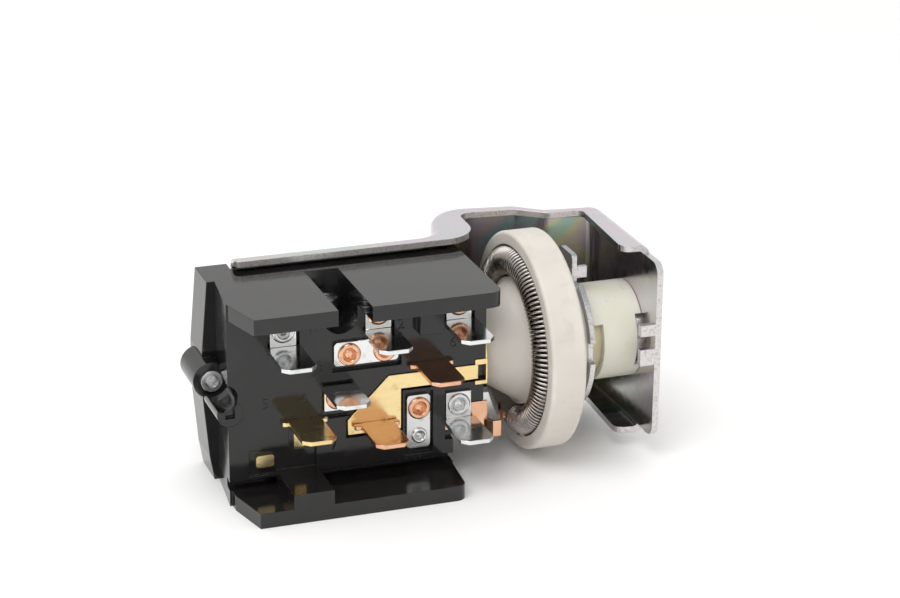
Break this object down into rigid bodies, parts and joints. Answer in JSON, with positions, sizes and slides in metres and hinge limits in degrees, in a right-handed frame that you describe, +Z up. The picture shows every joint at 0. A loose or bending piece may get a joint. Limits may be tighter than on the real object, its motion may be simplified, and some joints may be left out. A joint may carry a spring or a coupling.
{
  "type": "push-pull lighting switch with rotary dimmer",
  "caption": "Panel-mounted push-pull lighting switch: black phenolic case with push-on blade terminals, wire-wound rotary dimmer, release plunger and plated steel bracket.",
  "frame": {"origin": "on the shaft axis, at the outer face of the retaining plate that lies on the panel", "axes": "+X along the shaft axis, out of the panel towards the driver; -Y the way the blade terminals point; +Z up, the side with the release plunger"},
  "size_m": [0.0864, 0.0452, 0.0426],
  "materials": {
    "zinc_steel": "zinc-plated steel with a yellow and pink chromate sheen",
    "steel": "plain bright steel",
    "phenolic": "glossy black moulded phenolic",
    "tinned": "tin-plated brass sheet, satin",
    "copper": "bare copper, lightly tarnished",
    "brass": "bare sheet brass",
    "zinc": "bright zinc plate",
    "porcelain": "unglazed white electrical porcelain",
    "nichrome": "dark oxidised resistance wire",
    "nylon": "natural nylon, slightly translucent",
    "cream_nylon": "cream moulded nylon"
  },
  "bodies": {
    "base": {"mounting_bracket": "zinc_steel", "retaining_plate": "zinc_steel", "threaded_ferrule": "steel", "terminal_housing": "phenolic", "rear_case": "phenolic", "bracket_screws": "steel", "case_rivet": "zinc", "terminal_tail": "tinned", "terminal_feed": "tinned", "terminal_dimmer": "tinned", "terminal_lamp": "tinned", "terminal_instrument": "tinned", "terminal_head": "copper", "terminal_rheostat": "copper", "terminal_battery": "brass", "upper_link": "tinned", "lower_link": "zinc", "copper_rivets": "copper", "zinc_eyelets": "zinc", "small_eyelet": "zinc", "feed_strip": "brass", "hub_contact_spring": "brass", "wiper_strip": "copper", "sensing_contact": "brass", "window_contact": "brass", "breaker_bimetal": "brass", "breaker_contact": "copper", "plunger_spring": "steel"},
    "slider": {"slider_carriage": "phenolic", "contact_bridge_rear": "copper", "contact_bridge_front": "copper", "bridge_springs": "steel", "detent_ball": "steel", "detent_spring": "steel"},
    "latch": {"shaft_latch": "steel"},
    "plunger": {"release_plunger": "steel"},
    "rotor": {"rheostat_ring": "porcelain", "resistance_coil": "nichrome", "driver_plate": "zinc_steel", "drive_sleeve": "nylon", "drive_bush": "cream_nylon"}
  },
  "joints": [
    {"name": "shaft_pull", "type": "slide", "parent": "base", "child": "slider", "axis": [1, 0, 0], "range_m": [0, 0.0127]},
    {"name": "dimmer_turn", "type": "hinge", "parent": "base", "child": "rotor", "pos_m": [0, 0, 0], "axis": [1, 0, 0], "range_deg": [-65, 235]},
    {"name": "plunger_push", "type": "slide", "parent": "base", "child": "plunger", "axis": [0, 0, 1], "range_m": [-0.002, 0], "stiffness_N_per_m": 300, "springref_m": 0.0015, "deforming": ["plunger_spring"]},
    {"name": "latch_drop", "type": "slide", "parent": "slider", "child": "latch", "axis": [0, 0, 1], "range_m": [-0.002, 0]}
  ],
  "couplings": [
    {"joint": "latch_drop", "follows": "plunger_push", "ratio": 1}
  ]
}
